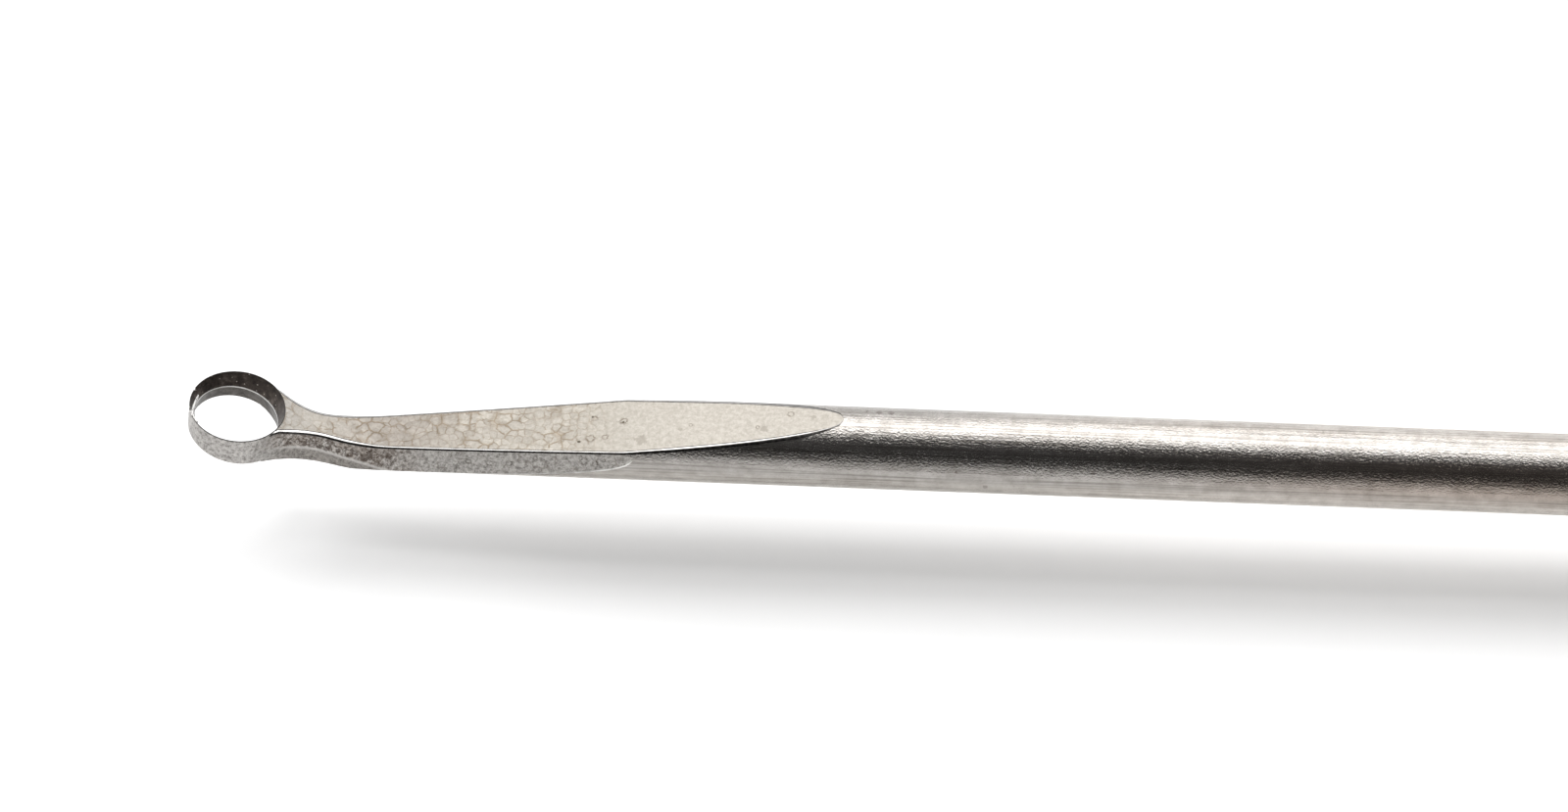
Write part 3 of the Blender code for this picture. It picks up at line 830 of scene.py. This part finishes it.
flat_films = [
    (-50.41, -0.93, 2.95, 0.30),
    (-48.52, -0.29, 3.14, 0.12),
    (-44.42, -0.48, 3.57, 0.20),
    (-42.05, 0.19, 3.83, 0.14),
]
colour = mixed(tree, sum_up(tree, "MULTIPLY", marks(tree, place, flat_films), 0.6), colour, (0.235, 0.215, 0.185))
pits = marks(tree, place, [(-52.79, 0.70, 2.72, 0.07), (-51.30, 0.28, 2.86, 0.08), (-53.40, -0.95, 2.66, 0.08)])
colour = mixed(tree, pits, colour, (0.09, 0.075, 0.06))
laid_on(tree, shader, colour, outline, strength=0.35, depth=0.02 * MM, invert=True)


# Finish of the edges. The narrow strips along the flat and the cutting edge inside the ring are bare, polished
# steel. The low corner of each side flat is given a pale colour, a painted highlight. The corners beside the strips,
# and the rim, are painted near-black, a painted shade line along these edges.
tree, shader = finish_of(strip_steel, roughness=0.22)
place = in_millimetres(tree)
worn = add_node(tree, "ShaderNodeGroup", {"Vector": place, "Along": 1.5, "Across": 9.0}, node_tree=grain)
colour = ramp(tree, worn.outputs["Line"], [(0.35, (0.34, 0.33, 0.315)), (0.55, (0.46, 0.455, 0.445))])
laid_on(tree, shader, colour)

# painted highlight: a bright colour on the low corner of each side flat, standing in for light caught along that edge
tree, shader = finish_of(highlight_corner_steel, roughness=0.35)
place = in_millimetres(tree)
rubbed = add_node(tree, "ShaderNodeTexNoise", {"Vector": place, "Scale": 2.5, "Detail": 4.0, "Roughness": 0.7})
colour = ramp(tree, rubbed.outputs["Fac"], [(0.38, (0.44, 0.43, 0.41)), (0.55, (0.70, 0.69, 0.67))])
laid_on(tree, shader, colour)

# painted shade: a near-black colour that draws a dark line along the corners beside the strips and along the rim
tree, shader = finish_of(shade_line_steel, roughness=0.3)
place = in_millimetres(tree)
film = add_node(tree, "ShaderNodeTexNoise", {"Vector": place, "Scale": 5.0, "Detail": 4.0})
colour = ramp(tree, film.outputs["Fac"], [(0.35, (0.03, 0.027, 0.025)), (0.65, (0.10, 0.095, 0.09))])
laid_on(tree, shader, colour)


# Finish of the side flats, the neck and the outside of the ring: ground steel that use and cleaning have left dull,
# with dark brown stains over the upper part of the neck and rings of them farther on. The pale line at the crease is
# a painted highlight, and the darker band just below the crease along the neck is painted shade.
tree, shader = finish_of(side_steel, roughness=0.36)
place = in_millimetres(tree)
where = add_node(tree, "ShaderNodeSeparateXYZ", {"Vector": place})
height = add_node(
    tree,
    "ShaderNodeMath",
    {0: where.outputs["X"], 1: math.tan(CREASE_FALL), 2: where.outputs["Z"]},
    operation="MULTIPLY_ADD",
).outputs[0]
crease_height = CREASE_Z + RING_X * math.tan(CREASE_FALL)
upper = fade(tree, height, crease_height - 0.05, crease_height + 0.16)
along = add_node(
    tree, "ShaderNodeMapRange", {"Value": where.outputs["X"], "From Min": RING_X - 3, "From Max": RING_X + 22}
).outputs["Result"]
light = ramp(
    tree,
    along,
    [
        (0.04, (0.36, 0.345, 0.33)),
        (0.14, (0.37, 0.355, 0.34)),
        (0.23, (0.40, 0.382, 0.362)),
        (0.42, (0.36, 0.343, 0.324)),
        (0.52, (0.325, 0.312, 0.295)),
        (0.75, (0.318, 0.305, 0.288)),
    ],
)
fine = add_node(tree, "ShaderNodeTexNoise", {"Vector": place, "Scale": 5.5, "Detail": 3.0, "Roughness": 0.85})
uneven = ramp(
    tree, fine.outputs["Fac"], [(0.34, (0.46, 0.445, 0.43)), (0.49, (0.98, 0.98, 0.98)), (0.66, (1.44, 1.44, 1.43))]
)
colour = mixed(tree, 1.0, light, uneven, "MULTIPLY")
# painted shade: the side flat is made darker just below the crease, along the neck
shade = sum_up(
    tree,
    "MULTIPLY",
    fade(tree, height, crease_height - 0.12, crease_height, 1.0, 0.0),
    fade(tree, where.outputs["X"], RING_X + 1.0, RING_X + 2.8),
    fade(tree, where.outputs["X"], RING_X + 6.5, RING_X + 8.5, 1.0, 0.0),
)
colour = tinted(tree, shade, colour, (0.60, 0.59, 0.575))
# painted highlight: a pale line just below the crease of each side flat
crease_highlight = sum_up(
    tree,
    "MULTIPLY",
    fade(tree, height, crease_height - 0.20, crease_height - 0.08),
    fade(tree, height, crease_height - 0.01, crease_height + 0.08, 1.0, 0.0),
    fade(tree, where.outputs["X"], RING_X + 1.5, RING_X + 3.0, 0.0, 0.6),
)
colour = mixed(tree, crease_highlight, colour, (0.52, 0.50, 0.48))
neck = sum_up(
    tree,
    "MULTIPLY",
    upper,
    fade(tree, where.outputs["X"], RING_X + 0.8, RING_X + 2.6),
    fade(tree, where.outputs["X"], RING_X + 6.6, RING_X + 9.5, 1.0, 0.0),
)
soiled = add_node(tree, "ShaderNodeTexNoise", {"Vector": place, "Scale": 1.6, "Detail": 5.0, "Roughness": 0.7})
wash = sum_up(tree, "MULTIPLY", neck, fade(tree, soiled.outputs["Fac"], 0.38, 0.56, 0.05, 0.55))
colour = tinted(tree, wash, colour, (0.52, 0.44, 0.385))
speckled = sum_up(tree, "MULTIPLY", neck, fade(tree, fine.outputs["Fac"], 0.41, 0.50, 0.5, 0.0))
colour = mixed(tree, speckled, colour, (0.075, 0.056, 0.044))
swirls = add_node(tree, "ShaderNodeGroup", {"Vector": place, "Size": 0.42, "Spread": 0.62}, node_tree=rings)
dots = add_node(tree, "ShaderNodeGroup", {"Vector": place, "Size": 0.17, "Spread": 0.53}, node_tree=rings)
dirt = sum_up(tree, "MULTIPLY", sum_up(tree, "MAXIMUM", swirls.outputs["Stain"], dots.outputs["Stain"]), neck, 0.72)
colour = mixed(tree, dirt, colour, (0.062, 0.045, 0.035))
beyond = sum_up(
    tree,
    "MULTIPLY",
    fade(tree, where.outputs["X"], RING_X + 8.0, RING_X + 10.0),
    fade(tree, soiled.outputs["Fac"], 0.47, 0.60),
)
up_the_side = sum_up(tree, "ADD", where.outputs["Y"], where.outputs["Z"])
flattened = add_node(tree, "ShaderNodeCombineXYZ", {"X": where.outputs["X"], "Y": up_the_side}).outputs["Vector"]
blisters = add_node(tree, "ShaderNodeGroup", {"Vector": flattened, "Size": 0.36}, node_tree=cells).outputs["Outline"]
colour = mixed(tree, sum_up(tree, "MULTIPLY", blisters, beyond, 0.7), colour, (0.125, 0.105, 0.09))
neck_spots = [
    (-67.25, -0.71, 1.88, 0.14),
    (-66.76, -0.77, 1.80, 0.20),
    (-66.43, -0.82, 1.73, 0.10),
    (-66.04, -0.90, 1.58, 0.14),
    (-65.70, -0.96, 1.46, 0.14),
    (-65.12, -1.02, 1.39, 0.14),
    (-64.69, -1.11, 1.22, 0.10),
    (-63.82, -1.18, 1.21, 0.22),
    (-63.55, -1.13, 1.51, 0.16),
    (-62.63, -1.23, 1.40, 0.16),
]
colour = mixed(tree, sum_up(tree, "MULTIPLY", marks(tree, place, neck_spots), 0.6), colour, (0.055, 0.042, 0.034))
side_rings = [
    (-58.76, -1.52, 1.57, 0.16),
    (-57.71, -1.60, 1.58, 0.18),
    (-56.75, -1.65, 1.70, 0.16),
    (-55.48, -1.65, 2.10, 0.12),
    (-53.13, -1.82, 2.21, 0.20),
    (-52.55, -1.88, 2.15, 0.17),
    (-52.18, -1.86, 2.37, 0.12),
]
ringed = sum_up(tree, "MULTIPLY", marks(tree, place, side_rings, "Ring"), 0.8)
colour = mixed(tree, ringed, colour, (0.07, 0.056, 0.047))
ground = add_node(tree, "ShaderNodeGroup", {"Vector": place, "Along": 3.0, "Across": 12.0}, node_tree=grain)
laid_on(tree, shader, colour, ground.outputs["Line"], strength=0.4, depth=0.02 * MM)


# Finish of the round bar: drawn and polished lengthwise, then worn by handling, so that it mirrors in a grainy way.
# It has fine lines along it and a few scratches and pits. Its underside is painted paler, and towards the handle so
# is its far side; both are painted light. Between them is a little brown.
tree, shader = finish_of(bar_steel, roughness=0.25)
place = in_millimetres(tree)
where = add_node(tree, "ShaderNodeSeparateXYZ", {"Vector": place})
cloud = add_node(tree, "ShaderNodeTexNoise", {"Vector": place, "Scale": 1.4, "Detail": 6.0, "Roughness": 0.7})
colour = ramp(tree, cloud.outputs["Fac"], [(0.32, (0.30, 0.282, 0.262)), (0.68, (0.44, 0.422, 0.40))])
lines = add_node(tree, "ShaderNodeGroup", {"Vector": place, "Along": 0.12, "Across": 10.0}, node_tree=grain)
streak = ramp(tree, lines.outputs["Line"], [(0.38, (0.70, 0.69, 0.675)), (0.52, (1.0, 1.0, 1.0))])
colour = mixed(tree, 1.0, colour, streak, "MULTIPLY")
# painted light: the underside is made paler, as if it caught more light from below
colour = tinted(tree, fade(tree, where.outputs["Z"], 1.3, 2.2, 1.0, 0.0), colour, (1.62, 1.60, 1.57))
# painted light: the far side is made paler towards the handle
far_side_painted_light = fade(tree, where.outputs["Y"], 0.0, 0.25)
painted_light_far = sum_up(tree, "MULTIPLY", far_side_painted_light, fade(tree, where.outputs["X"], RING_X + 30, RING_X + 48))
colour = tinted(tree, painted_light_far, colour, (1.42, 1.39, 1.37))
# painted light: the underside is made paler again towards the handle
painted_light_below = fade(tree, where.outputs["Z"], 1.6, 2.1, 1.0, 0.0)
painted_light_foot = sum_up(tree, "MULTIPLY", fade(tree, where.outputs["X"], RING_X + 37, RING_X + 46), painted_light_below)
colour = tinted(tree, painted_light_foot, colour, (1.18, 1.17, 1.17))
brown = sum_up(
    tree,
    "MULTIPLY",
    fade(tree, where.outputs["X"], RING_X + 38, RING_X + 62),
    fade(tree, where.outputs["Z"], 1.3, 2.6),
    fade(tree, where.outputs["Z"], 3.5, 3.8, 1.0, 0.0),
)
colour = tinted(tree, brown, colour, (0.94, 0.85, 0.79))
scuffs = [
    (-39.44, 0.67, 3.89, 0.10),
    (-38.87, 0.61, 3.90, 0.14),
    (-38.29, 0.61, 3.90, 0.16),
    (-33.58, -1.97, 1.65, 0.14),
    (-30.41, -1.86, 2.75, 0.10),
    (-28.40, -1.84, 2.78, 0.10),
    (-35.04, -1.92, 2.56, 0.08),
]
broken = fade(tree, lines.outputs["Line"], 0.35, 0.6, 0.9, 0.45)
scuffed = sum_up(tree, "MULTIPLY", marks(tree, place, scuffs), broken)
colour = mixed(tree, scuffed, colour, (0.13, 0.11, 0.095))
grit = add_node(tree, "ShaderNodeGroup", {"Vector": place, "Along": 9.0, "Across": 11.0}, node_tree=grain)
worn = {0: lines.outputs["Line"], 1: 0.12, 2: grit.outputs["Line"]}
worn = add_node(tree, "ShaderNodeMath", worn, operation="MULTIPLY_ADD").outputs[0]
laid_on(tree, shader, colour, worn, strength=1.0, depth=0.03 * MM)


# Finish of the torn tip: steel that has been crumpled and not ground since, so that some of its small facets shine
# and others don't.
tree, shader = finish_of(torn_steel, roughness=0.4)
place = in_millimetres(tree)
crumpled = add_node(tree, "ShaderNodeTexNoise", {"Vector": place, "Scale": 7.0, "Detail": 4.0, "Roughness": 0.7})
colour = ramp(tree, crumpled.outputs["Fac"], [(0.38, (0.34, 0.33, 0.32)), (0.60, (0.80, 0.79, 0.77))])
laid_on(tree, shader, colour, crumpled.outputs["Fac"], strength=1.0, depth=0.08 * MM)


# Finish of the bevel inside the ring: turned, and then left very dark by a brown film with pale specks in it. The
# bore below it has the same film, worn to grey.
tree, shader = finish_of(cone_steel, roughness=0.5)
place = in_millimetres(tree)
film = add_node(tree, "ShaderNodeTexNoise", {"Vector": place, "Scale": 2.2, "Detail": 6.0, "Roughness": 0.7})
browned = [(0.35, (0.036, 0.030, 0.028)), (0.55, (0.085, 0.071, 0.062)), (0.75, (0.21, 0.18, 0.16))]
colour = ramp(tree, film.outputs["Fac"], browned)
specks = add_node(tree, "ShaderNodeTexVoronoi", {"Vector": place, "Scale": 5.0, "Randomness": 1.0})
speck = fade(tree, specks.outputs["Distance"], 0.08, 0.20, 0.85, 0.0)
lot = add_node(tree, "ShaderNodeSeparateColor", {"Color": specks.outputs["Color"]})
speck = sum_up(tree, "MULTIPLY", speck, fade(tree, lot.outputs["Red"], 0.35, 0.45))
colour = mixed(tree, speck, colour, (0.62, 0.56, 0.51))
laid_on(tree, shader, colour)

tree, shader = finish_of(bore_steel, roughness=0.4)
place = in_millimetres(tree)
film = add_node(tree, "ShaderNodeTexNoise", {"Vector": place, "Scale": 3.0, "Detail": 6.0, "Roughness": 0.75})
colour = ramp(tree, film.outputs["Fac"], [(0.35, (0.035, 0.031, 0.028)), (0.65, (0.135, 0.125, 0.115))])
laid_on(tree, shader, colour)


# The whole curette, which is one piece of steel: the bar and head with the ring, hole and torn tip worked into them.
# The thin faces that the cuts leave are merged, so that its skin is closed.
WELD, THINNEST = 1e-7, 5e-8
bpy.context.view_layer.update()
whole = bpy.data.meshes.new_from_object(curette.evaluated_get(bpy.context.evaluated_depsgraph_get()))
bm = bmesh.new()
bm.from_mesh(whole)
bmesh.ops.remove_doubles(bm, verts=bm.verts, dist=WELD)
bmesh.ops.triangulate(bm, faces=[face for face in bm.faces if len(face.verts) > 4])
bmesh.ops.dissolve_degenerate(bm, edges=bm.edges, dist=THINNEST)
bm.to_mesh(whole)
bm.free()
curette.modifiers.clear()
curette.data = whole
whole.name = "ring_curette_steel"
for tool in (outside, hole, nick, chip, sliver):
    bpy.data.objects.remove(tool)
whole.shade_smooth()
whole.set_sharp_from_angle(angle=math.radians(13.0))
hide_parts("ring_curette")
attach(curette, "root")
